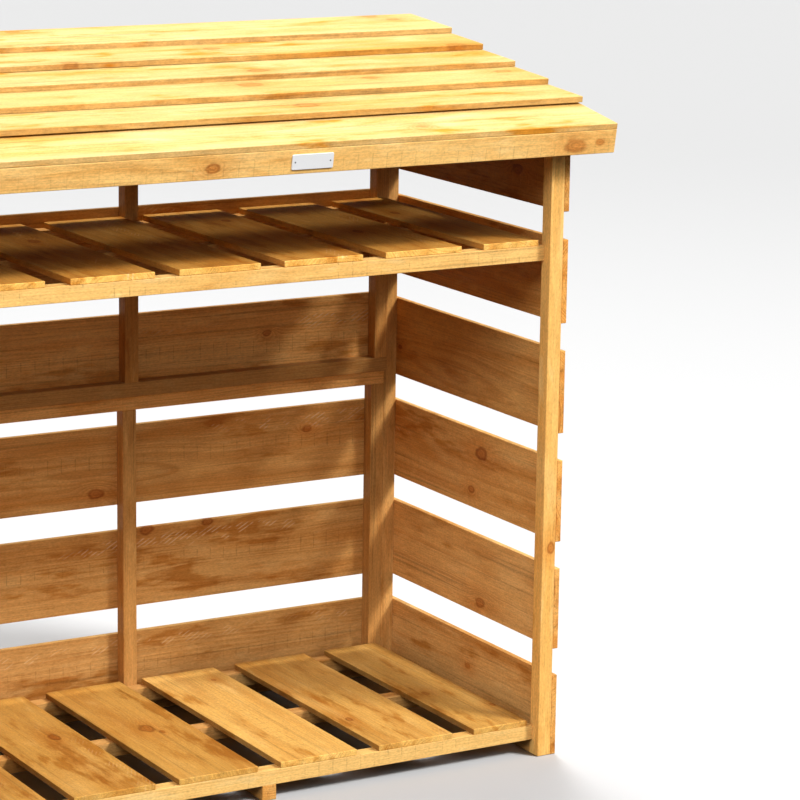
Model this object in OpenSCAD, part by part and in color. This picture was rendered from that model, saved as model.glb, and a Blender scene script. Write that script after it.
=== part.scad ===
// Open-fronted timber log store: two slatted side panels, a slatted back in
// two stacked panels, a slatted floor, a slatted shelf and a lapped board roof.
// Millimetres, +Z up, front towards -Y, origin at the middle of the footprint.

/* [Size] */
// Clear width between the two side frames
inner_w = 1112; // [900:2:1500]
// Depth of a side frame, front face to back face
side_d = 618; // [560:2:760]

/* [Timber] */
// Side of the square framing timber
frame_t = 28; // [24:1:34]
// Thickness of the slats and boards
board_t = 11; // [9:1:14]

/* [Slats] */
// Width of a wall slat
slat_w = 154; // [130:1:160]
// Spacing of the wall slats, bottom edge to bottom edge
slat_pitch = 205; // [190:1:210]

/* [Floor and shelf] */
// Width of a full floor or shelf board
deck_w = 156; // [130:1:160]
// Gap between floor or shelf boards
deck_gap = 46; // [30:1:60]
// Gap between the outermost board and the side frame
deck_side_gap = 13; // [5:1:20]
// Height of the underside of the shelf rails
shelf_z = 935; // [880:1:950]

/* [Roof] */
// Pitch of the roof, rising to the back, in degrees
roof_pitch = 10; // [8:0.5:12]
// Height of the rafters' top face at the front edge of the roof
roof_front_z = 1177; // [1170:1:1200]
// How far the roof's front edge stands in front of the posts
roof_front_over = 50; // [40:1:60]
// How far the roof passes the side slats at each end
roof_side_over = 65; // [40:1:90]
// Width of a roof board
roof_board_w = 158; // [140:1:165]
// Exposed width of a lapped roof board
roof_show = 117.3; // [110:0.1:125]
// Height of the front fascia and of the back rail
fascia_h = 44; // [36:1:60]

/* [Plate] */
// Width of the blank plate on the fascia
plate_w = 80; // [60:1:100]
// Height of the blank plate on the fascia
plate_h = 27; // [20:1:32]
// Thickness of the blank plate
plate_t = 2; // [1.5:0.5:3]

/* [Hidden] */
$fn = 32;
hw = inner_w / 2;                 // inner face of a side frame
ow = hw + frame_t;                // outer face of a side frame
sw = ow + board_t;                // outer face of the side slats
rw = sw + roof_side_over;         // end of the roof
c = cos(roof_pitch);
s = sin(roof_pitch);
roof_l = roof_board_w + 5 * roof_show;      // rafter-plane length, front to back
lap_gap = 0.2;                              // air between lapped boards
lap = asin((board_t + lap_gap) / roof_show); // tilt of a lapped board
// front edge of the fascia's top face, and the back corner of the back rail
y_front = -roof_front_over - board_t * s;
y_back = -roof_front_over + roof_l * c + fascia_h * s;
y_mid = (y_front + y_back) / 2;             // middle of the whole depth
// back panels: the lower one stands between the back posts, the upper one is
// set forward by one board so that its slats finish flush with the posts
y_lo = side_d - frame_t;
y_up = side_d - board_t - frame_t;
lo_top = 2 * slat_pitch + slat_w + 63;      // top of the lower back panel
up_bot = lo_top;
up_top = up_bot + 629;                      // top of the upper back panel
// floor and shelf rails
rail_front = 19;
floor_back = y_lo;
shelf_back = y_up;
deck_front = rail_front;
pale = [0.93, 0.75, 0.45];
warm = [0.85, 0.62, 0.33];
deep = [0.74, 0.50, 0.25];
roofc = [0.97, 0.86, 0.52];

// height of the rafters' top face and underside at depth y
function raf_top(y) = roof_front_z + (y + roof_front_over) * s / c;
function raf_bot(y) = raf_top(y) - frame_t / c;

// a box given by its low and high corners, measured from the posts' front face
module bar(x0, x1, y0, y1, z0, z1) {
  translate([x0, y0 - y_mid, z0]) cube([x1 - x0, y1 - y0, z1 - z0]);
}

// an outline in the depth-height plane, drawn out along X
module side_shape(x0, x1, pts) {
  translate([x0, -y_mid, 0]) rotate([90, 0, 90]) linear_extrude(x1 - x0) polygon(pts);
}

// children drawn along the roof: u runs up the slope, w is square to it
module on_roof() {
  translate([0, -roof_front_over - y_mid, roof_front_z]) rotate([roof_pitch, 0, 0]) children();
}

// ---- side panels ----
module post(x0, y0) {
  side_shape(x0, x0 + frame_t,
    [[y0, 0], [y0 + frame_t, 0], [y0 + frame_t, raf_bot(y0 + frame_t)], [y0, raf_bot(y0)]]);
}
module side_rail(x0) { bar(x0, x0 + frame_t, frame_t, side_d - frame_t, 0, frame_t); }
module rafter(x0) {
  on_roof() translate([x0, frame_t, -frame_t]) cube([frame_t, roof_l - 2 * frame_t, frame_t]);
}
module side_slats(x0) {
  for (j = [0:5]) bar(x0, x0 + board_t, 0, side_d, j * slat_pitch, j * slat_pitch + slat_w);
}
module right_front_post() { color(pale) post(hw, 0); }
module right_back_post() { color(warm) post(hw, y_lo); }
module right_bottom_rail() { color(warm) side_rail(hw); }
module right_rafter() { color(warm) rafter(hw); }
module right_side_slats() { color(deep) side_slats(ow); }
module left_front_post() { color(pale) post(-ow, 0); }
module left_back_post() { color(warm) post(-ow, y_lo); }
module left_bottom_rail() { color(warm) side_rail(-ow); }
module left_rafter() { color(warm) rafter(-ow); }
module left_side_slats() { color(deep) side_slats(-sw); }

// ---- back panels ----
module upright(x0, y0, z0, z1) { bar(x0, x0 + frame_t, y0, y0 + frame_t, z0, z1); }
module lower_back_right_upright() { color(warm) upright(hw - frame_t, y_lo, frame_t, lo_top - frame_t); }
module lower_back_centre_upright() { color(warm) upright(-frame_t / 2, y_lo, frame_t, lo_top - frame_t); }
module lower_back_left_upright() { color(warm) upright(-hw, y_lo, frame_t, lo_top - frame_t); }
module lower_back_bottom_rail() { color(warm) bar(-hw, hw, y_lo, y_lo + frame_t, 0, frame_t); }
module lower_back_top_rail() { color(warm) bar(-hw, hw, y_lo, y_lo + frame_t, lo_top - frame_t, lo_top); }
module lower_back_slats() {
  color(deep) for (k = [0:2])
    bar(-ow, ow, side_d, side_d + board_t, k * slat_pitch, k * slat_pitch + slat_w);
}
module upper_back_right_upright() { color(warm) upright(hw - frame_t, y_up, up_bot + frame_t, up_top - frame_t); }
module upper_back_centre_upright() { color(warm) upright(-frame_t / 2, y_up, up_bot + frame_t, up_top - frame_t); }
module upper_back_left_upright() { color(warm) upright(-hw, y_up, up_bot + frame_t, up_top - frame_t); }
module upper_back_bottom_rail() { color(warm) bar(-hw, hw, y_up, y_up + frame_t, up_bot, up_bot + frame_t); }
module upper_back_top_rail() { color(warm) bar(-hw, hw, y_up, y_up + frame_t, up_top - frame_t, up_top); }
module upper_back_slats() {
  color(deep) for (k = [0:2])
    bar(-hw, hw, y_up + frame_t, side_d, up_bot + k * slat_pitch, up_bot + k * slat_pitch + slat_w);
}

// ---- floor and shelf ----
module deck_rail(y0, z0) { bar(-hw, hw, y0, y0 + frame_t, z0, z0 + frame_t); }
module deck_boards(z0, y1) {
  for (m = [-1, 1], k = [0:2]) {
    a = deck_gap / 2 + k * (deck_w + deck_gap);
    b = min(a + deck_w, hw - deck_side_gap);
    bar(m > 0 ? a : -b, m > 0 ? b : -a, deck_front, y1, z0, z0 + board_t);
  }
}
module floor_front_rail() { color(pale) deck_rail(rail_front, frame_t); }
module floor_middle_rail() { color(warm) deck_rail((rail_front + floor_back) / 2 - frame_t / 2, frame_t); }
module floor_back_rail() { color(warm) deck_rail(floor_back - frame_t, frame_t); }
module floor_runner() { color(warm) bar(-frame_t / 2, frame_t / 2, rail_front, floor_back, 0, frame_t); }
module floor_boards() { color(warm) deck_boards(2 * frame_t, y_lo - 1); }
module shelf_front_rail() { color(pale) deck_rail(rail_front, shelf_z); }
module shelf_middle_rail() { color(warm) deck_rail((rail_front + shelf_back) / 2 - frame_t / 2, shelf_z); }
module shelf_back_rail() { color(warm) deck_rail(shelf_back - frame_t, shelf_z); }
module shelf_boards() { color(warm) deck_boards(shelf_z + frame_t, y_up - 1); }

// ---- roof ----
module roof_fascia() {
  color(pale) on_roof() translate([-rw, 0, -fascia_h]) cube([2 * rw, frame_t, fascia_h]);
}
module roof_back_rail() {
  color(warm) on_roof() translate([-rw, roof_l - frame_t, -fascia_h]) cube([2 * rw, frame_t, fascia_h]);
}
module roof_centre_rafter() { color(warm) rafter(-frame_t / 2); }
// the first board lies flat on the rafters; the others lap over the one in front
module lapped(k) {
  on_roof() translate([0, roof_board_w + (k - 1) * roof_show, 0]) rotate([k > 1 ? -lap : 0, 0, 0])
    translate([-rw, -roof_board_w, 0]) cube([2 * rw, roof_board_w, board_t]);
}
module roof_board_1() { color(roofc) lapped(1); }
module roof_board_2() { color(roofc) lapped(2); }
module roof_board_3() { color(roofc) lapped(3); }
module roof_board_4() { color(roofc) lapped(4); }
module roof_board_5() { color(roofc) lapped(5); }
module roof_board_6() { color(roofc) lapped(6); }

// ---- small fitting ----
module blank_plate() {
  color([0.95, 0.95, 0.94]) on_roof()
    translate([0, -plate_t, -(fascia_h + plate_h) / 2]) cube([plate_w, plate_t, plate_h]);
}

right_front_post();
right_back_post();
right_bottom_rail();
right_rafter();
right_side_slats();
left_front_post();
left_back_post();
left_bottom_rail();
left_rafter();
left_side_slats();
lower_back_right_upright();
lower_back_centre_upright();
lower_back_left_upright();
lower_back_bottom_rail();
lower_back_top_rail();
lower_back_slats();
upper_back_right_upright();
upper_back_centre_upright();
upper_back_left_upright();
upper_back_bottom_rail();
upper_back_top_rail();
upper_back_slats();
floor_front_rail();
floor_middle_rail();
floor_back_rail();
floor_runner();
floor_boards();
shelf_front_rail();
shelf_middle_rail();
shelf_back_rail();
shelf_boards();
roof_fascia();
roof_back_rail();
roof_centre_rafter();
roof_board_1();
roof_board_2();
roof_board_3();
roof_board_4();
roof_board_5();
roof_board_6();
blank_plate();
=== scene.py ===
import math
import random

import bpy
import numpy as np
from mathutils import Matrix, Vector


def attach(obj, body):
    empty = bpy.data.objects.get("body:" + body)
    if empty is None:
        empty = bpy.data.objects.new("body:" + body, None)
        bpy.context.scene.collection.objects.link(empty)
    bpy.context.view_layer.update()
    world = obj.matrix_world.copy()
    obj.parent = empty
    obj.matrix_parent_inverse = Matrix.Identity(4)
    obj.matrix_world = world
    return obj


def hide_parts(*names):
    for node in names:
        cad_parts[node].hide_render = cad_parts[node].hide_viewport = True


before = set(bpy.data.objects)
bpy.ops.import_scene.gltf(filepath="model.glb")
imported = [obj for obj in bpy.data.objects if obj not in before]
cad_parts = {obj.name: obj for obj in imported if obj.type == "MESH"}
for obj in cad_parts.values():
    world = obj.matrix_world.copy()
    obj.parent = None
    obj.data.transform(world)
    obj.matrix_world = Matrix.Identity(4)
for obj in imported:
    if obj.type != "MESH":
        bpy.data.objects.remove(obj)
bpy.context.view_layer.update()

# ---------------------------------------------------------------- sizes, mm
T = 28.0            # framing timber
B = 11.0            # slats and boards
HW = 556.0          # inner face of a side frame
OW = HW + T
SW = OW + B
SIDE_D = 618.0
SLAT_W, PITCH = 154.0, 205.0
DECK_W, DECK_GAP, DECK_SIDE = 156.0, 46.0, 13.0
SHELF_Z = 935.0
SLOPE = math.radians(10.0)
ROOF_Z, ROOF_OVER = 1177.0, 50.0
RW = SW + 65.0
RB_W, RB_E = 158.0, 117.3
FASCIA = 44.0
C, S = math.cos(SLOPE), math.sin(SLOPE)
ROOF_L = RB_W + 5 * RB_E
LAP = math.asin((B + 0.2) / RB_E)
Y_MID = ((-ROOF_OVER - B * S) + (-ROOF_OVER + ROOF_L * C + FASCIA * S)) / 2
Y_LO, Y_UP = SIDE_D - T, SIDE_D - B - T
LO_TOP = 2 * PITCH + SLAT_W + 63
UP_BOT, UP_TOP = LO_TOP, LO_TOP + 629


def raf_bot(y):
    return ROOF_Z + (y + ROOF_OVER) * S / C - T / C


X, Y, Z = Vector((1, 0, 0)), Vector((0, 1, 0)), Vector((0, 0, 1))
U = Vector((0, C, S))      # up the roof slope
N = Vector((0, -S, C))     # square to the roof
FAR = (50.0, 0.0, 0.005)   # a knot that is nowhere on the board


class Pile:
    """Collects the boards of one piece: vertices, faces and grain attributes."""

    def __init__(self):
        self.v, self.f, self.end = [], [], []
        self.a = {k: [] for k in ("gc", "bs", "pith", "tone", "bp", "k1", "k2", "k3")}

    def board(self, centre, eL, eW, eT, L, W, TH, seed, knots=(), tone=1.0, hue=0.35, tick=0.0, tick_w=0.0,
              spacing=4.6, contrast=0.55, pith=None, cut=0.0, r=1.1, warp=0.35, l0=0.0, lift=0.0):
        """One sawn and planed board. centre and sizes in mm; eL runs along the grain. cut leans the + end along eT."""
        rng = random.Random(seed)
        base = len(self.v)

        def profile(hw, ht, rad):
            pts = []
            for cx, cy, a0 in ((1, 1, 0), (-1, 1, 90), (-1, -1, 180), (1, -1, 270)):
                for k in range(3):
                    a = math.radians(a0 + 45 * k)
                    pts.append((cx * (hw - rad) + rad * math.cos(a), cy * (ht - rad) + rad * math.sin(a)))
            return pts

        full = profile(W / 2, TH / 2, r)
        inset = profile(W / 2 - 0.7 * r, TH / 2 - 0.7 * r, 0.3 * r)
        n = max(2, int(L / 55))
        ls = [-L / 2, -L / 2 + 0.7 * r] + [-L / 2 + L * i / n for i in range(1, n)] + [L / 2 - 0.7 * r, L / 2]
        bow, crook = rng.uniform(-warp, warp), rng.uniform(-warp, warp) * 0.7
        ph1, ph2 = rng.uniform(0, 6.28), rng.uniform(0, 6.28)
        m = len(full)
        p0 = pith if pith else (rng.uniform(-0.5, 0.5) * W, rng.choice((-1, 1)) * rng.uniform(25, 85), rng.uniform(-0.012, 0.012))
        off = (rng.uniform(-9, 9), rng.uniform(-9, 9), rng.uniform(-9, 9))
        kn = (list(knots) + [None] * 3)[:3]
        kn = [(k[0] / 1000, k[1] / 1000, k[2] / 1000) if k else FAR for k in kn]
        for i, l in enumerate(ls):
            prof = inset if i in (0, len(ls) - 1) else full
            s = l / L + 0.5
            dT = bow * math.sin(math.pi * s) + 0.12 * warp * math.sin(9 * s + ph1)
            dW = crook * math.sin(math.pi * s) + 0.12 * warp * math.sin(11 * s + ph2)
            for w, t in prof:
                ll = l + (cut * t if l > 0 and i >= len(ls) - 2 else 0.0)
                p = centre + eL * ll + eW * (w + dW) + eT * (t + dT)
                self.v.append((p.x / 1000, (p.y - Y_MID) / 1000, p.z / 1000))
                self.a["gc"].append(((ll + l0) / 1000, w / 1000, t / 1000))
        cnt = len(ls) * m
        for key, val in (("bs", off), ("pith", (p0[0] / 1000, p0[1] / 1000, p0[2])), ("tone", (tone, hue, tick)),
                         ("bp", (1000.0 / spacing, contrast, tick_w / 1000)), ("k1", kn[0]), ("k2", kn[1]), ("k3", kn[2])):
            self.a[key] += [val] * cnt
        flip = eL.cross(eW).dot(eT) < 0

        def face(idx, end):
            self.f.append(idx[::-1] if flip else idx)
            self.end.append(end)

        for i in range(len(ls) - 1):
            for j in range(m):
                k = (j + 1) % m
                a, b = base + i * m, base + (i + 1) * m
                edge = 0.5 + lift if W > 2 * TH and j in (5, 11) else 0.0
                face([a + j, a + k, b + k, b + j], 1.0 if i in (0, len(ls) - 2) else edge)
        face([base + j for j in range(m)][::-1], 1.0)
        face([base + (len(ls) - 1) * m + j for j in range(m)], 1.0)

    def make(self, name, mat, *nodes, slot=None):
        me = bpy.data.meshes.new(name)
        me.from_pydata(self.v, [], self.f)
        for key, vals in self.a.items():
            at = me.attributes.new(key, "FLOAT_VECTOR", "POINT")
            at.data.foreach_set("vector", np.array(vals, dtype=np.float32).ravel())
        at = me.attributes.new("endg", "FLOAT", "FACE")
        at.data.foreach_set("value", np.array(self.end, dtype=np.float32))
        me.materials.append(mat)
        me.validate()
        me.update()
        ob = bpy.data.objects.new(name, me)
        bpy.context.scene.collection.objects.link(ob)
        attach(ob, "root")
        if nodes:
            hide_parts(*nodes)
        return ob


# ---------------------------------------------------------------- shader kit
class Tree:
    def __init__(self, mat):
        mat.use_nodes = True
        self.nt = mat.node_tree
        self.nt.nodes.clear()

    def put(self, sock, val):
        if isinstance(val, bpy.types.NodeSocket):
            self.nt.links.new(val, sock)
        elif val is not None:
            sock.default_value = val

    def new(self, kind, **props):
        n = self.nt.nodes.new(kind)
        for k, v in props.items():
            setattr(n, k, v)
        return n

    def attr(self, name, out="Vector"):
        return self.new("ShaderNodeAttribute", attribute_name=name).outputs[out]

    def m(self, op, a, b=None, c=None, clamp=False):
        n = self.new("ShaderNodeMath", operation=op, use_clamp=clamp)
        for s, v in zip(n.inputs, (a, b, c)):
            self.put(s, v)
        return n.outputs[0]

    def sep(self, v):
        n = self.new("ShaderNodeSeparateXYZ")
        self.put(n.inputs[0], v)
        return n.outputs[0], n.outputs[1], n.outputs[2]

    def comb(self, x, y, z):
        n = self.new("ShaderNodeCombineXYZ")
        for s, v in zip(n.inputs, (x, y, z)):
            self.put(s, v)
        return n.outputs[0]

    def vm(self, op, a, b=None, scale=None):
        n = self.new("ShaderNodeVectorMath", operation=op)
        self.put(n.inputs[0], a)
        self.put(n.inputs[1], b)
        if scale is not None:
            self.put(n.inputs[3], scale)
        return n.outputs[0]

    def noise(self, vec, scale=1.0, detail=2.0, rough=0.5, out=0):
        n = self.new("ShaderNodeTexNoise")
        self.put(n.inputs["Vector"], vec)
        n.inputs["Scale"].default_value = scale
        n.inputs["Detail"].default_value = detail
        n.inputs["Roughness"].default_value = rough
        return n.outputs[out]

    def step(self, v, lo, hi, a=0.0, b=1.0):
        n = self.new("ShaderNodeMapRange", interpolation_type="SMOOTHSTEP")
        self.put(n.inputs["Value"], v)
        n.inputs["From Min"].default_value = lo
        n.inputs["From Max"].default_value = hi
        n.inputs["To Min"].default_value = a
        n.inputs["To Max"].default_value = b
        return n.outputs["Result"]

    def mix(self, fac, a, b, mode="MIX"):
        n = self.new("ShaderNodeMix", data_type="RGBA", blend_type=mode)
        self.put(n.inputs[0], fac)
        for s, v in ((n.inputs[6], a), (n.inputs[7], b)):
            self.put(s, (*v, 1.0) if isinstance(v, tuple) and len(v) == 3 else v)
        return n.outputs[2]


def pine(name, early, late, amber, pale, rough=0.5, knot=1.0, blotch=1.0, end=(1.16, 1.08, 0.86), edge=(0.95, 0.92, 0.92),
         tint=(0.74, 0.59, 0.40), hairs=0.24, flame=0.60, sheen=0.09):
    """Planed softwood: uneven growth rings about a pith line, knots with grain that flows round them, stain that
    takes unevenly, fibre, hairline checks, roller marks and torn-grain flecks."""
    mat = bpy.data.materials.new(name)
    t = Tree(mat)
    gc, bs = t.attr("gc"), t.attr("bs")
    l, w, th = t.sep(gc)
    b1, b2, b3 = t.sep(bs)
    pw, pt, tilt = t.sep(t.attr("pith"))
    bright, hue, tick_s = t.sep(t.attr("tone"))
    inv, contrast, tick_w = t.sep(t.attr("bp"))
    cutg = t.attr("endg", "Fac")
    endg = t.step(cutg, 0.6, 0.9)
    sawn = t.step(cutg, 0.2, 0.4)

    def dom(sl, sw, st):
        return t.vm("ADD", t.vm("MULTIPLY", gc, (sl, sw, st)), bs)

    wax, way, waz = t.sep(t.noise(dom(1.8, 7.0, 7.0), detail=1.0, out=1))
    wb = t.noise(dom(9.0, 50.0, 50.0), detail=1.0)
    w1 = t.m("ADD", w, t.m("MULTIPLY", t.m("SUBTRACT", wax, 0.5), 0.034))
    w1 = t.m("ADD", w1, t.m("MULTIPLY", t.m("SUBTRACT", wb, 0.5), 0.0036))
    w1 = t.m("ADD", w1, t.m("MULTIPLY", l, tilt))
    t1 = t.m("ADD", th, t.m("MULTIPLY", t.m("SUBTRACT", way, 0.5), 0.030))
    rx, ry = t.m("SUBTRACT", w1, pw), t.m("SUBTRACT", t1, pt)
    rad = t.m("SQRT", t.m("ADD", t.m("MULTIPLY", rx, rx), t.m("MULTIPLY", ry, ry)))
    phase = t.m("MULTIPLY", rad, inv)
    # good and bad years: the rings are neither evenly spaced nor evenly dark
    years = t.noise(t.comb(t.m("ADD", t.m("MULTIPLY", phase, 0.42), b1), b2, t.m("MULTIPLY", l, 0.8)), detail=1.0, out=1)
    ya, yb, _ = t.sep(years)
    phase = t.m("ADD", phase, t.m("MULTIPLY", t.m("SUBTRACT", ya, 0.5), 2.6))

    wob = t.noise(dom(34.0, 55.0, 55.0), detail=2.0)
    halo = core = rim = kring = None
    for key in ("k1", "k2", "k3"):
        kl, kw, kr = t.sep(t.attr(key))
        dl = t.m("MULTIPLY", t.m("SUBTRACT", l, kl), 0.62)
        dw = t.m("SUBTRACT", w, kw)
        q = t.m("DIVIDE", t.m("SQRT", t.m("ADD", t.m("MULTIPLY", dl, dl), t.m("MULTIPLY", dw, dw))), kr)
        qn = t.m("ADD", q, t.m("MULTIPLY", t.m("SUBTRACT", wob, 0.5), 1.15))
        infl = t.m("POWER", 2.718, t.m("MULTIPLY", t.m("MULTIPLY", q, q), -0.20))
        h = t.m("POWER", 2.718, t.m("MULTIPLY", t.m("MULTIPLY", qn, qn), -0.085))
        c = t.step(qn, 1.25, 0.75)
        e = t.m("MULTIPLY", t.step(qn, 0.62, 1.0), t.step(qn, 1.42, 1.0))
        phase = t.m("ADD", phase, t.m("MULTIPLY", infl, 3.6))
        kg = t.m("MULTIPLY", t.m("FRACT", t.m("MULTIPLY", qn, 2.3)), c)
        halo = h if halo is None else t.m("MAXIMUM", halo, h)
        core = c if core is None else t.m("MAXIMUM", core, c)
        rim = e if rim is None else t.m("MAXIMUM", rim, e)
        kring = kg if kring is None else t.m("MAXIMUM", kring, kg)

    saw = t.m("FRACT", phase)
    ring = t.m("MULTIPLY", t.step(saw, 0.20, 0.88), t.step(saw, 1.0, 0.90))
    ring = t.m("MULTIPLY", ring, t.step(yb, 0.36, 0.66, 0.25, 1.0))
    fibre = t.noise(dom(15.0, 430.0, 430.0), detail=2.0, rough=0.62)
    streak = t.noise(dom(0.9, 17.0, 17.0), detail=2.0, rough=0.6)
    cloud = t.noise(dom(3.4, 13.0, 13.0), detail=2.0, rough=0.62)
    stain = t.noise(dom(6.5, 27.0, 27.0), detail=3.0, rough=0.68)
    hair = t.noise(dom(1.3, 120.0, 120.0), detail=1.0)

    depth = t.m("MULTIPLY", t.m("MULTIPLY", ring, contrast), t.m("ADD", 1.0, t.m("MULTIPLY", endg, 0.9)), clamp=True)
    col = t.mix(depth, early, late)
    col = t.mix(t.step(streak, 0.45, 0.72 - 0.2 * (flame - 0.6), 0.0, flame), col, amber)
    col = t.mix(t.step(cloud, 0.52, 0.76, 0.0, 0.55), col, pale)
    patchy = t.m("MULTIPLY", t.step(stain, 0.49, 0.70), t.step(waz, 0.40, 0.62, 0.22, 0.95 * blotch))
    col = t.mix(patchy, col, t.mix(1.0, col, tint, "MULTIPLY"))
    col = t.mix(t.step(stain, 0.44, 0.28, 0.0, 0.55), col, pale)
    col = t.mix(t.m("MULTIPLY", hue, 0.6), col, t.mix(1.0, col, (1.0, 0.82, 0.52), "MULTIPLY"))
    grey = t.m("ADD", 1.0, t.m("MULTIPLY", t.m("SUBTRACT", fibre, 0.5), 0.60))
    grey = t.m("ADD", grey, t.m("MULTIPLY", t.m("SUBTRACT", wob, 0.5), t.m("ADD", 0.16, t.m("MULTIPLY", sawn, 0.50))))
    speck = t.noise(dom(170.0, 380.0, 380.0), detail=1.0, rough=0.6)
    grey = t.m("ADD", grey, t.m("MULTIPLY", t.m("SUBTRACT", speck, 0.5), 0.55))
    grey = t.m("SUBTRACT", grey, t.step(hair, 0.62, 0.72, 0.0, hairs))
    # short roller marks in a row along the board, and a band of pale torn-grain flecks beside them
    cell = t.m("ABSOLUTE", t.m("SUBTRACT", t.m("FRACT", t.m("DIVIDE", l, 0.0287)), 0.5))
    reach = t.m("ADD", w, t.m("MULTIPLY", t.m("SUBTRACT", wb, 0.5), 0.026))
    row = t.step(t.m("ABSOLUTE", t.m("SUBTRACT", reach, tick_w)), 0.0150, 0.0120)
    tick = t.m("MULTIPLY", t.m("MULTIPLY", t.step(cell, 0.058, 0.020), row), tick_s)
    grey = t.m("SUBTRACT", grey, t.m("MULTIPLY", tick, t.step(stain, 0.36, 0.58, 0.30, 0.08)))
    slant = t.m("ADD", t.m("SUBTRACT", t.m("MULTIPLY", l, 0.50), t.m("MULTIPLY", w, 0.87)), t.m("MULTIPLY", wb, 0.004))
    dash = t.step(t.m("ABSOLUTE", t.m("SUBTRACT", t.m("FRACT", t.m("DIVIDE", slant, 0.0072)), 0.5)), 0.26, 0.08)
    band = t.step(t.m("ABSOLUTE", t.m("SUBTRACT", reach, t.m("ADD", tick_w, 0.040))), 0.016, 0.007)
    fleck = t.m("MULTIPLY", t.m("MULTIPLY", dash, band), t.m("MULTIPLY", tick_s, t.step(waz, 0.50, 0.60)))
    # per-board tone: random board-to-board tone, and on some rows and panels also painted light and shade
    grey = t.m("MULTIPLY", grey, bright)
    halo2 = t.m("MULTIPLY", halo, t.step(stain, 0.30, 0.66, 0.85, 0.30))
    col = t.mix(halo2, col, t.mix(1.0, col, (0.82, 0.58, 0.36), "MULTIPLY"))
    kcol = t.mix(1.0, col, t.mix(kring, (0.82, 0.62, 0.48), (0.60, 0.42, 0.30)), "MULTIPLY")
    col = t.mix(t.m("MULTIPLY", core, 0.80 * knot), col, kcol)
    col = t.mix(t.m("MULTIPLY", rim, t.step(cloud, 0.34, 0.60, 0.15, 0.72 * knot)), col, t.mix(1.0, col, (0.46, 0.32, 0.24), "MULTIPLY"))
    col = t.mix(1.0, col, t.comb(grey, grey, grey), "MULTIPLY")
    col = t.mix(t.m("MULTIPLY", fleck, t.step(wob, 0.47, 0.60, 0.0, 0.42)), col, (0.80, 0.62, 0.38))
    # edge tint on the narrow side faces of the wide boards (the sawn mask, which also adds rougher texture): on the
    # roof boards it is the colour of the sawn edges, on the floor boards its dark tint is painted shade in the gaps
    # between the boards; an edge flag above 0.5 (lift) scales the tint 1.55x
    col = t.mix(t.m("MULTIPLY", t.m("SUBTRACT", sawn, endg), 0.8), col, t.vm("SCALE", t.mix(1.0, col, edge, "MULTIPLY"), scale=t.step(cutg, 0.51, 0.58, 1.0, 1.55)))
    # painted highlight: the end faces and their small chamfers are multiplied by the end tint; its warm cast is
    # end-grain colour, and its lift above 1 is painted light on the lit front ends
    col = t.mix(t.m("MULTIPLY", endg, 0.8), col, t.mix(1.0, col, end, "MULTIPLY"))

    p = t.new("ShaderNodeBsdfPrincipled")
    t.put(p.inputs["Base Color"], col)
    ro = t.m("ADD", rough, t.m("MULTIPLY", t.m("SUBTRACT", fibre, 0.5), 0.34))
    t.put(p.inputs["Roughness"], t.m("ADD", ro, t.m("MULTIPLY", sawn, 0.20), clamp=True))
    p.inputs["Specular IOR Level"].default_value = sheen
    bump = t.new("ShaderNodeBump")
    bump.inputs["Strength"].default_value = 0.40
    bump.inputs["Distance"].default_value = 0.0008
    t.put(bump.inputs["Height"], t.m("SUBTRACT", t.m("MULTIPLY", fibre, 0.7), t.m("MULTIPLY", tick, 1.2)))
    t.put(p.inputs["Normal"], bump.outputs[0])
    out = t.new("ShaderNodeOutputMaterial")
    t.put(out.inputs[0], p.outputs[0])
    return mat


# pine_front is a lit copy of the pine_framing timber: the front posts, front rails and fascia are painted lighter, as
# painted light
front = pine("pine_front", (0.940, 0.570, 0.185), (0.720, 0.340, 0.078), (0.810, 0.400, 0.090), (0.970, 0.670, 0.280), blotch=0.8)
framing = pine("pine_framing", (0.582, 0.308, 0.098), (0.402, 0.165, 0.039), (0.455, 0.195, 0.038), (0.650, 0.390, 0.142))
slats = pine("pine_slats", (0.684, 0.377, 0.127), (0.466, 0.198, 0.049), (0.530, 0.225, 0.051), (0.760, 0.468, 0.184), blotch=1.8, edge=(0.84, 0.92, 0.96), flame=0.8)
# floor boards: end lifts the front ends brighter (painted highlight), edge darkens the side edges (painted shade
# between the boards)
deck = pine("pine_deck", (0.590, 0.335, 0.086), (0.410, 0.182, 0.037), (0.460, 0.208, 0.038), (0.690, 0.435, 0.148), blotch=1.7, end=(1.28, 1.34, 1.40), edge=(0.46, 0.42, 0.40), hairs=0.16, flame=0.8)
# pine_shelf is a shaded copy of pine_deck: its deeper, more saturated colours are painted shade under the roof, while
# end lifts the front ends up to 3.5x brighter (painted highlight on the lit front ends)
rack = pine("pine_shelf", (0.610, 0.318, 0.074), (0.425, 0.170, 0.030), (0.475, 0.195, 0.032), (0.700, 0.415, 0.130), blotch=1.5, end=(2.15, 2.65, 3.50), edge=(1.10, 1.05, 1.05), hairs=0.12, flame=0.75, sheen=0.03)
# pine_roof is a lit copy: paler and yellower than the framing, painted light for the bright light on the roof tops; its
# orange blotches (tint) are stain
roof = pine("pine_roof", (0.618, 0.448, 0.184), (0.506, 0.288, 0.060), (0.562, 0.296, 0.040), (0.690, 0.560, 0.275), knot=0.55, blotch=1.3, edge=(0.78, 0.63, 0.50), tint=(0.90, 0.60, 0.19), flame=0.70)

# ---------------------------------------------------------------- boards
seed = [100]


def nxt():
    seed[0] += 1
    return seed[0]


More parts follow.
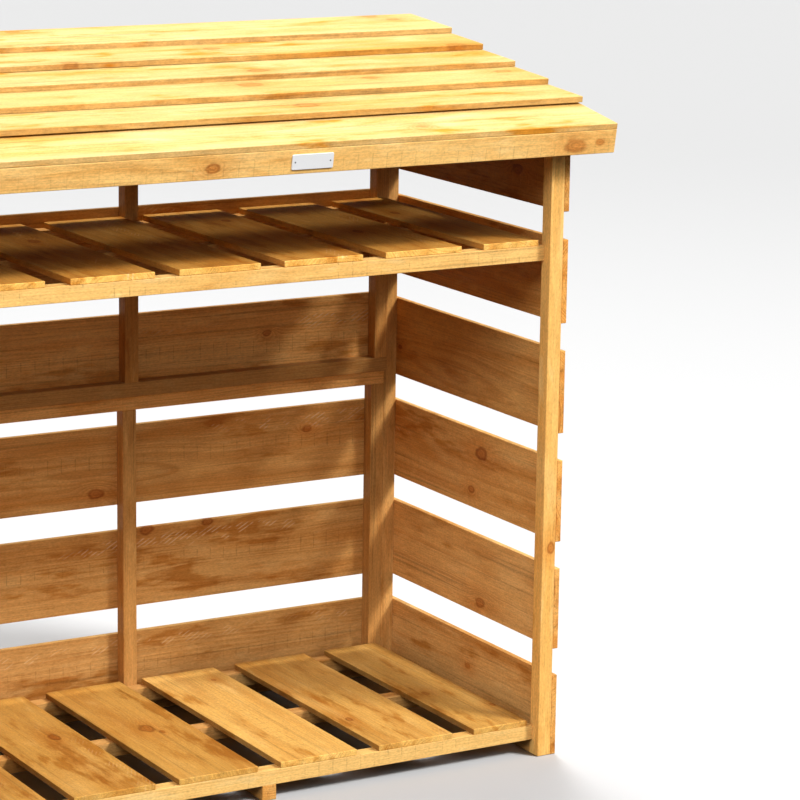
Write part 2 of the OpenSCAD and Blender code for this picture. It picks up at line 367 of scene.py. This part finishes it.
def stick(node, x0, x1, y0, y1, z0, z1, mat=None, slot="framing", **kw):
    """A single square length of framing: the longest side is the grain."""
    size = Vector((x1 - x0, y1 - y0, z1 - z0))
    mid = Vector(((x0 + x1) / 2, (y0 + y1) / 2, (z0 + z1) / 2))
    ax = [X, Y, Z]
    i = max(range(3), key=lambda k: size[k])
    j, k = [(1, 2), (0, 2), (0, 1)][i]
    p = Pile()
    p.board(mid, ax[i], ax[j], ax[k], size[i], size[j], size[k], nxt(), **kw)
    return p.make(node.replace("_", "-") + "-timber", mat or framing, node, slot=slot)


rnd = random.Random(7)


def tone(lo=0.90, hi=1.06):
    return rnd.uniform(lo, hi)


def hue(lo=0.1, hi=0.6):
    return rnd.uniform(lo, hi)


# side panels
for side, x0, xs in (("right", HW, OW), ("left", -OW, -SW)):
    for nm, y0, kn in (("front_post", 0.0, [(-180, 4, 7)] if side == "right" else []), ("back_post", Y_LO, [])):
        h0, h1 = raf_bot(y0), raf_bot(y0 + T)
        p = Pile()
        p.board(Vector((x0 + T / 2, y0 + T / 2, (h0 + h1) / 4)), Z, X, Y, (h0 + h1) / 2, T, T, nxt(), cut=(h1 - h0) / T,
                knots=kn, tone=0.94 if y0 == 0 else 1.0, hue=0.55 if y0 == 0 else 0.3, contrast=0.5)
        p.make(f"{side}-{nm.replace('_', '-')}-timber", front if y0 == 0 else framing, f"{side}_{nm}", slot="framing")
    stick(f"{side}_bottom_rail", x0, x0 + T, T, SIDE_D - T, 0, T, tone=tone(), hue=hue())
    p = Pile()
    p.board(Vector((x0 + T / 2, -ROOF_OVER, ROOF_Z)) + U * (ROOF_L / 2) - N * (T / 2), U, X, N, ROOF_L - 2 * T, T, T, nxt(), tone=tone(), hue=hue())
    p.make(f"{side}-rafter-timber", framing, f"{side}_rafter", slot="framing")
    p = Pile()
    kk = {0: [(-9, 15, 6)], 1: [(-49, -52, 9.5)], 2: [(-44, 35, 11), (-11, -42, 6)], 3: [(266, -20, 4)], 4: [(120, 20, 7)], 5: [(-150, -20, 9)]}
    if side == "left":
        kk = {0: [(120, -30, 8)], 2: [(-160, 10, 10)], 3: [(70, 40, 6)], 5: [(200, -10, 9)], 1: [(-220, 35, 7)]}
    # the per-row factors on the slats are painted light and shade: rows are lightened or darkened for how light falls
    # across the side wall, the top row (0.88) darker for the shade under the roof
    for j in range(6):
        p.board(Vector((xs + (B / 2 if side == "right" else -B / 2) , SIDE_D / 2, j * PITCH + SLAT_W / 2)) if side == "right" else
                Vector((-OW - B / 2, SIDE_D / 2, j * PITCH + SLAT_W / 2)),
                Y, Z, X, SIDE_D, SLAT_W, B, nxt(), knots=kk.get(j, []), tone=tone(0.96, 1.06) * (0.93, 1.06, 1.10, 0.98, 1.0, 0.88)[j], hue=hue() + 0.1 * j, tick=rnd.choice((0, 0.2, 0.5)), tick_w=rnd.uniform(-40, 40))
    p.make(f"{side}-side-slats-boards", slats, f"{side}_side_slats", slot="slats")

# back panels
for nm, y0, z0, z1 in (("lower_back", Y_LO, 0.0, LO_TOP), ("upper_back", Y_UP, UP_BOT, UP_TOP)):
    for w, x0 in (("right", HW - T), ("centre", -T / 2), ("left", -HW)):
        stick(f"{nm}_{w}_upright", x0, x0 + T, y0, y0 + T, z0 + T, z1 - T, tone=tone(0.86, 0.94), hue=hue(0.4, 0.8))
    low, top = (0.95, 1.30) if nm == "lower_back" else (0.72, 0.96)
    stick(f"{nm}_bottom_rail", -HW, HW, y0, y0 + T, z0, z0 + T, tone=low, hue=hue(0.4, 0.7), tick=0.3)
    stick(f"{nm}_top_rail", -HW, HW, y0, y0 + T, z1 - T, z1, tone=top, hue=hue(0.2, 0.4), tick=0.3)
p = Pile()
kk = {0: [(-330, 40, 7)], 1: [(50, 72, 9), (180, 72, 6), (-420, -20, 8)], 2: [(-60, -50, 9), (400, 30, 6)]}
# the lower back slats are toned down (0.80-0.87, bottom row a further 0.91): painted shade under the shelf
for k in range(3):
    p.board(Vector((0, SIDE_D + B / 2, k * PITCH + SLAT_W / 2)), X, Z, Y, 2 * OW, SLAT_W, B, nxt(), knots=kk[k], tone=tone(0.80, 0.87) * (0.91, 1.04, 1.08)[k], hue=hue(0.3, 0.6),
            tick=0.9 if k else 0.6, tick_w=(10, 8, 10)[k], spacing=rnd.uniform(4.5, 7))
p.make("lower-back-slats-boards", slats, "lower_back_slats", slot="slats")
p = Pile()
kk = {0: [(303, 16, 5)], 1: [(-200, 20, 8)], 2: [(150, -30, 9), (-380, 10, 7)]}
# the middle upper back slat, level with the shelf, is toned down to 0.74: painted shade
for k in range(3):
    p.board(Vector((0, Y_UP + T + B / 2, UP_BOT + k * PITCH + SLAT_W / 2)), X, Z, Y, 2 * HW, SLAT_W, B, nxt(), knots=kk[k], tone=tone(0.96, 1.03) * (1.08, 0.74, 1.0)[k], hue=hue(0.3, 0.6),
            tick=0.8, tick_w=(-8, 20, 0)[k], spacing=rnd.uniform(4.5, 7))
p.make("upper-back-slats-boards", slats, "upper_back_slats", slot="slats")

# floor and shelf
planks = {}
for nm, z0, y_back, y_end in (("floor", T, Y_LO, Y_LO - 1), ("shelf", SHELF_Z, Y_UP, Y_UP - 1)):
    mid = (19 + y_back) / 2
    stick(f"{nm}_front_rail", -HW, HW, 19, 19 + T, z0, z0 + T, mat=front, tone=0.80 if nm == "floor" else 0.89, hue=0.1, tick=0.8, tick_w=0, contrast=0.4)
    stick(f"{nm}_middle_rail", -HW, HW, mid - T / 2, mid + T / 2, z0, z0 + T, tone=tone(), hue=hue())
    rest = stick(f"{nm}_back_rail", -HW, HW, y_back - T, y_back, z0, z0 + T, tone=tone(), hue=hue())
    p = Pile()
    if nm == "floor":
        kk = {(-1, 0): [(0, -4, 12), (-30, 14, 5)], (1, 1): [(-125, -50, 6)], (1, 2): [(-55, -26, 7), (-172, 52, 5)], (-1, 1): [(30, 28, 10)], (1, 0): [(210, 40, 4)], (-1, 2): [(-120, 10, 8)]}
    else:
        kk = {(1, 0): [(150, 30, 7)], (1, 1): [(-60, -10, 8)], (-1, 1): [(90, 20, 9)], (-1, 2): [(-150, 0, 6)], (1, 2): [(100, -20, 7)]}
    look = {(-1, 2): (0.80, 0.9, 0.2), (-1, 1): (0.80, 1.0, 0.3), (-1, 0): (0.83, 0.9, 0.0), (1, 0): (1.08, 0.15, 0.9), (1, 1): (0.97, 0.35, 0.3), (1, 2): (0.92, 0.4, 0.0)}
    # the shelf boards are toned down to about 0.8: painted shade under the roof
    if nm == "shelf":
        look = {key: (0.78 + 0.05 * v[2], 0.9, 0.3) for key, v in look.items()}
    for s in (-1, 1):
        for k in range(3):
            a = DECK_GAP / 2 + k * (DECK_W + DECK_GAP)
            b = min(a + DECK_W, HW - DECK_SIDE)
            p.board(Vector((s * (a + b) / 2, (19 + y_end) / 2, z0 + T + B / 2)), Y, X, Z, y_end - 19, b - a, B, nxt(), knots=kk.get((s, k), []),
                    tone=look[s, k][0], hue=look[s, k][1], spacing=rnd.uniform(4, 7), contrast=0.36, tick=look[s, k][2], tick_w=rnd.uniform(-30, 30))
    planks[nm] = p.make(f"{nm}-boards-planed", deck if nm == "floor" else rack, f"{nm}_boards", slot="deck")
stick("floor_runner", -T / 2, T / 2, 19, Y_LO, 0, T, tone=1.02, hue=0.2)

# roof
O = Vector((0, -ROOF_OVER, ROOF_Z))
for nm, u in (("roof_fascia", T / 2), ("roof_back_rail", ROOF_L - T / 2)):
    p = Pile()
    kn = [(577, -3, 12), (626, 0, 6), (-150, -2, 7)] if nm == "roof_fascia" else [(200, 5, 8), (-430, -6, 7)]
    p.board(O + U * u - N * (FASCIA / 2), X, N, U, 2 * RW, FASCIA, T, nxt(), knots=kn, tone=1.0, hue=0.05, tick=0.45, tick_w=-10, contrast=0.45, r=1.3)
    p.make(nm.replace("_", "-") + "-timber", front if nm == "roof_fascia" else framing, nm, slot="framing")
p = Pile()
p.board(O + U * (ROOF_L / 2) - N * (T / 2), U, X, N, ROOF_L - 2 * T, T, T, nxt(), tone=tone(), hue=hue())
p.make("roof-centre-rafter-timber", framing, "roof_centre_rafter", slot="framing")
kk = {1: [(280, -30, 6)], 2: [(120, -20, 13)], 3: [(80, 0, 12), (330, 8, 9), (610, 4, 10)], 4: [(130, -50, 11)], 5: [(120, -5, 9), (600, -74, 12), (-200, -74, 9)], 6: [(560, 70, 10), (590, 30, 8), (-200, 60, 9)]}
for k in range(1, 7):
    d = LAP if k > 1 else 0.0
    eu = U * math.cos(d) - N * math.sin(d)
    en = N * math.cos(d) + U * math.sin(d)
    back = O + U * (RB_W + (k - 1) * RB_E)
    p = Pile()
    p.board(back - eu * (RB_W / 2) + en * (B / 2), X, eu, en, 2 * RW, RB_W, B, nxt(), knots=kk[k], tone=tone(0.97, 1.03) + (0.06 if k == 6 else 0.0), hue=(0.05, 0.35, 0.45, 0.25, 0.30, 0.0)[k - 1], spacing=rnd.uniform(5, 8), contrast=0.5, warp=0.5, lift=0.1 if k == 1 else 0.0)
    p.make(f"roof-board-{k}-planed", roof, f"roof_board_{k}", slot="roof")


# blank plate with two small pins
def plastic():
    mat = bpy.data.materials.new("plate_white")
    t = Tree(mat)
    geo = t.new("ShaderNodeTexCoord")
    n = t.noise(geo.outputs["Object"], scale=900.0, detail=2.0)
    p = t.new("ShaderNodeBsdfPrincipled")
    pin = t.new("ShaderNodeAttribute")
    pin.attribute_name = "pin"
    face = t.mix(t.step(n, 0.35, 0.7, 0.0, 0.5), (0.80, 0.80, 0.80), (0.75, 0.75, 0.76))
    t.put(p.inputs["Base Color"], t.mix(pin.outputs["Fac"], face, (0.13, 0.13, 0.14)))
    t.put(p.inputs["Roughness"], t.m("ADD", 0.34, t.m("MULTIPLY", n, 0.16)))
    bump = t.new("ShaderNodeBump")
    bump.inputs["Strength"].default_value = 0.08
    bump.inputs["Distance"].default_value = 0.0003
    t.put(bump.inputs["Height"], n)
    t.put(p.inputs["Normal"], bump.outputs[0])
    out = t.new("ShaderNodeOutputMaterial")
    t.put(out.inputs[0], p.outputs[0])
    return mat


def plate():
    w, h, th, r = 80.0, 27.0, 2.0, 2.2
    v, f = [], []
    cx, cw = w / 2, -FASCIA / 2

    def ring(hw, hh, rad, depth):
        s = len(v)
        for sx, sy, a0 in ((1, 1, 0), (-1, 1, 90), (-1, -1, 180), (1, -1, 270)):
            for k in range(6):
                a = math.radians(a0 + 18 * k)
                px = cx + sx * (hw - rad) + rad * math.cos(a)
                pw = cw + sy * (hh - rad) + rad * math.sin(a)
                q = O + X * px + N * pw - U * depth
                v.append((q.x / 1000, (q.y - Y_MID) / 1000, q.z / 1000))
        return s

    rings = [ring(w / 2, h / 2, r, 0.0), ring(w / 2, h / 2, r, th - 0.5), ring(w / 2 - 0.15, h / 2 - 0.15, r, th - 0.15), ring(w / 2 - 0.5, h / 2 - 0.5, r, th)]
    m = 24
    f.append([rings[0] + j for j in range(m)][::-1])
    for a, b in zip(rings, rings[1:]):
        f += [[a + j, a + (j + 1) % m, b + (j + 1) % m, b + j] for j in range(m)]
    f.append([rings[-1] + j for j in range(m)])
    flat = len(v)
    for px in (6.0, w - 6.0):        # low domed pin heads
        prev = None
        for rad, d in ((1.5, th), (1.4, th + 0.35), (1.0, th + 0.6), (0.5, th + 0.72)):
            s = len(v)
            for k in range(16):
                a = math.radians(22.5 * k)
                q = O + X * (px + rad * math.cos(a)) + N * (cw + rad * math.sin(a)) - U * d
                v.append((q.x / 1000, (q.y - Y_MID) / 1000, q.z / 1000))
            f.extend([[s + j for j in range(16)][::-1]] if prev is None else [[prev + j, prev + (j + 1) % 16, s + (j + 1) % 16, s + j] for j in range(16)])
            prev = s
        f.append([prev + j for j in range(16)])
    me = bpy.data.meshes.new("blank-plate-moulded")
    me.from_pydata(v, [], f)
    me.materials.append(plastic())
    head = me.attributes.new("pin", "FLOAT", "POINT")
    for j in range(len(v)):
        head.data[j].value = 1.0 if j >= flat else 0.0
    me.update()
    ob = bpy.data.objects.new("blank-plate-moulded", me)
    bpy.context.scene.collection.objects.link(ob)
    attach(ob, "root")
    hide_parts("blank_plate")


plate()

# ---------------------------------------------------------------- floor, light, camera
# the floor darkens from 0.585 near the store to 0.458 past 9 m: painted shade standing in for light falling off with
# distance
FLOOR_NEAR, FLOOR_FAR = 0.585, 0.458
fm = bpy.data.materials.new("studio_floor")
t = Tree(fm)
p = t.new("ShaderNodeBsdfPrincipled")
dist = t.m("SQRT", t.m("ADD", *[t.m("MULTIPLY", a, a) for a in t.sep(t.new("ShaderNodeTexCoord").outputs["Object"])[:2]]))
fcol = t.step(dist, 0.5, 9.0, FLOOR_NEAR, FLOOR_FAR)
t.put(p.inputs["Base Color"], t.comb(fcol, fcol, fcol))
p.inputs["Roughness"].default_value = 0.9
p.inputs["Specular IOR Level"].default_value = 0.1
o = t.new("ShaderNodeOutputMaterial")
t.put(o.inputs[0], p.outputs[0])
me = bpy.data.meshes.new("studio-floor")
me.from_pydata([(-60, -60, -0.0005), (60, -60, -0.0005), (60, 60, -0.0005), (-60, 60, -0.0005)], [], [[0, 1, 2, 3]])
me.materials.append(fm)
floor = bpy.data.objects.new("studio-floor", me)
bpy.context.scene.collection.objects.link(floor)
floor.visible_diffuse = False

world = bpy.data.worlds.new("studio")
bpy.context.scene.world = world
world.use_nodes = True
t = Tree.__new__(Tree)
t.nt = world.node_tree
t.nt.nodes.clear()
bg = t.new("ShaderNodeBackground")
bg.inputs[0].default_value = (1.0, 1.0, 1.0, 1)
t.put(bg.inputs[1], t.step(t.sep(t.new("ShaderNodeTexCoord").outputs["Generated"])[2], -0.10, 0.15, 0.008, 0.09))
o = t.new("ShaderNodeOutputWorld")
t.put(o.inputs[0], bg.outputs[0])


def sun(name, az, el, strength, angle, skip=(), only=(), gloss=True):
    """A far lamp. az is measured from the front towards the right, el up from the floor, angle is how soft it is."""
    a, e = math.radians(az), math.radians(el)
    d = bpy.data.lights.new(name, "SUN")
    d.energy, d.angle = strength, math.radians(angle)
    ob = bpy.data.objects.new(name, d)
    ob.rotation_mode = "QUATERNION"
    ob.rotation_quaternion = Vector((math.sin(a) * math.cos(e), -math.cos(a) * math.cos(e), math.sin(e))).to_track_quat("Z", "Y")
    ob.visible_glossy = gloss
    bpy.context.scene.collection.objects.link(ob)
    flag(ob, skip, only)


def flag(lamp, skip=(), only=()):
    """Flags off a lamp: it misses the objects in skip, or reaches those in only."""
    if skip or only:
        c = bpy.data.collections.new(lamp.name + "_flags")
        for o in skip or only:
            c.objects.link(o)
        for o in c.collection_objects:
            o.light_linking.link_state = "EXCLUDE" if skip else "INCLUDE"
        lamp.light_linking.receiver_collection = c


def slit(name, y, z, rise, width, height, watts, spread, only):
    """A long low strip lamp behind the back: through a gap it lays a line of light across the boards at y."""
    e = math.radians(rise)
    d = bpy.data.lights.new(name, "AREA")
    d.shape, d.size, d.size_y, d.energy, d.spread = "RECTANGLE", width / 1000, height / 1000, watts, math.radians(spread)
    ob = bpy.data.objects.new(name, d)
    aim = Vector((0, math.cos(e), math.sin(e)))
    spot = Vector((0, y, z)) + aim * 700.0
    ob.location = (0.0, (spot.y - Y_MID) / 1000, spot.z / 1000)
    ob.rotation_mode = "QUATERNION"
    ob.rotation_quaternion = aim.to_track_quat("Z", "Y")
    ob.visible_camera = ob.visible_glossy = False
    bpy.context.scene.collection.objects.link(ob)
    flag(ob, only=only)


sun("key", 39, 44, 3.05, 12)
sun("key_soft", 42, 42, 1.40, 42)
sun("fill_left", -75, 38, 1.95, 56, skip=(floor,))
sun("fill_front", -36, 40, 0.95, 28, skip=(floor,))
sun("fill_low", -8, 14, 0.36, 26, skip=(floor,))
sun("back", 164, 64, 1.70, 14, gloss=False)
sun("back_soft", 166, 48, 1.30, 50, gloss=False)
sun("rim", 180, 44, 4.6, 4, only=(planks["shelf"], rest), gloss=False)
slit("slit_shelf", 394, SHELF_Z + T + B, 8, 1100, 21, 0.16, 1.5, only=(planks["shelf"], rest))
slit("slit_floor", 570, 2 * T + B, 62, 1100, 60, 0.17, 34.0, only=(planks["floor"],))

cam = bpy.data.cameras.new("camera")
cam.sensor_width = 36.0
cam.lens = 3230.356 * 36.0 / 800.0
cam.clip_end = 200.0
co = bpy.data.objects.new("camera", cam)
yaw, pitch, roll = math.radians(30.482), math.radians(12.303), math.radians(-0.875)
fwd = Vector((math.sin(yaw) * math.cos(pitch), math.cos(yaw) * math.cos(pitch), -math.sin(pitch)))
right = Vector((math.cos(yaw), -math.sin(yaw), 0))
down = fwd.cross(right)
r2 = right * math.cos(roll) + down * math.sin(roll)
d2 = down * math.cos(roll) - right * math.sin(roll)
rot = Matrix((r2, -d2, -fwd)).transposed()
co.matrix_world = Matrix.Translation(Vector((-2.58886, (-4817.386 - Y_MID) / 1000, 1.92998))) @ rot.to_4x4()
bpy.context.scene.collection.objects.link(co)
bpy.context.scene.camera = co

sc = bpy.context.scene
sc.view_settings.view_transform = "Standard"
sc.view_settings.look = "None"
